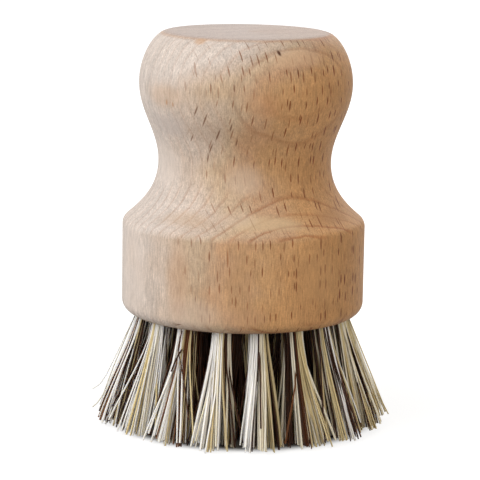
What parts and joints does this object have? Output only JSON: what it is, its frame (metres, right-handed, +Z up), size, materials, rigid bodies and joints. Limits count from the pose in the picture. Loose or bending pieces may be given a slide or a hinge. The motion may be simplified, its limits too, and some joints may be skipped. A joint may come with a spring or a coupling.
{
  "type": "pot brush",
  "caption": "Round hand-held pot brush: a turned beech block with a waisted knob and rings of stapled mixed plant-fibre tufts that fan out to a level trim.",
  "frame": {"origin": "centre of the disc of trimmed bristle tips, on the surface that the brush stands on", "axes": "+Z up along the turned block's axis towards the knob's flat crown; -Y is the side that the picture shows"},
  "size_m": [0.0592, 0.0595, 0.0809],
  "materials": {
    "beech": "matte",
    "union_fibre": "matte",
    "galvanised_wire": "satin"
  },
  "bodies": {
    "root": {"beech_block": "beech", "tuft_inner_01": "union_fibre", "tuft_inner_02": "union_fibre", "tuft_inner_03": "union_fibre", "tuft_middle_01": "union_fibre", "tuft_middle_02": "union_fibre", "tuft_middle_03": "union_fibre", "tuft_middle_04": "union_fibre", "tuft_middle_05": "union_fibre", "tuft_middle_06": "union_fibre", "tuft_middle_07": "union_fibre", "tuft_middle_08": "union_fibre", "tuft_middle_09": "union_fibre", "tuft_outer_01": "union_fibre", "tuft_outer_02": "union_fibre", "tuft_outer_03": "union_fibre", "tuft_outer_04": "union_fibre", "tuft_outer_05": "union_fibre", "tuft_outer_06": "union_fibre", "tuft_outer_07": "union_fibre", "tuft_outer_08": "union_fibre", "tuft_outer_09": "union_fibre", "tuft_outer_10": "union_fibre", "tuft_outer_11": "union_fibre", "tuft_outer_12": "union_fibre", "tuft_outer_13": "union_fibre", "tuft_outer_14": "union_fibre", "tuft_outer_15": "union_fibre", "tuft_outer_16": "union_fibre", "tuft_outer_17": "union_fibre", "staple_inner_01": "galvanised_wire", "staple_inner_02": "galvanised_wire", "staple_inner_03": "galvanised_wire", "staple_middle_01": "galvanised_wire", "staple_middle_02": "galvanised_wire", "staple_middle_03": "galvanised_wire", "staple_middle_04": "galvanised_wire", "staple_middle_05": "galvanised_wire", "staple_middle_06": "galvanised_wire", "staple_middle_07": "galvanised_wire", "staple_middle_08": "galvanised_wire", "staple_middle_09": "galvanised_wire", "staple_outer_01": "galvanised_wire", "staple_outer_02": "galvanised_wire", "staple_outer_03": "galvanised_wire", "staple_outer_04": "galvanised_wire", "staple_outer_05": "galvanised_wire", "staple_outer_06": "galvanised_wire", "staple_outer_07": "galvanised_wire", "staple_outer_08": "galvanised_wire", "staple_outer_09": "galvanised_wire", "staple_outer_10": "galvanised_wire", "staple_outer_11": "galvanised_wire", "staple_outer_12": "galvanised_wire", "staple_outer_13": "galvanised_wire", "staple_outer_14": "galvanised_wire", "staple_outer_15": "galvanised_wire", "staple_outer_16": "galvanised_wire", "staple_outer_17": "galvanised_wire"}
  },
  "joints": []
}
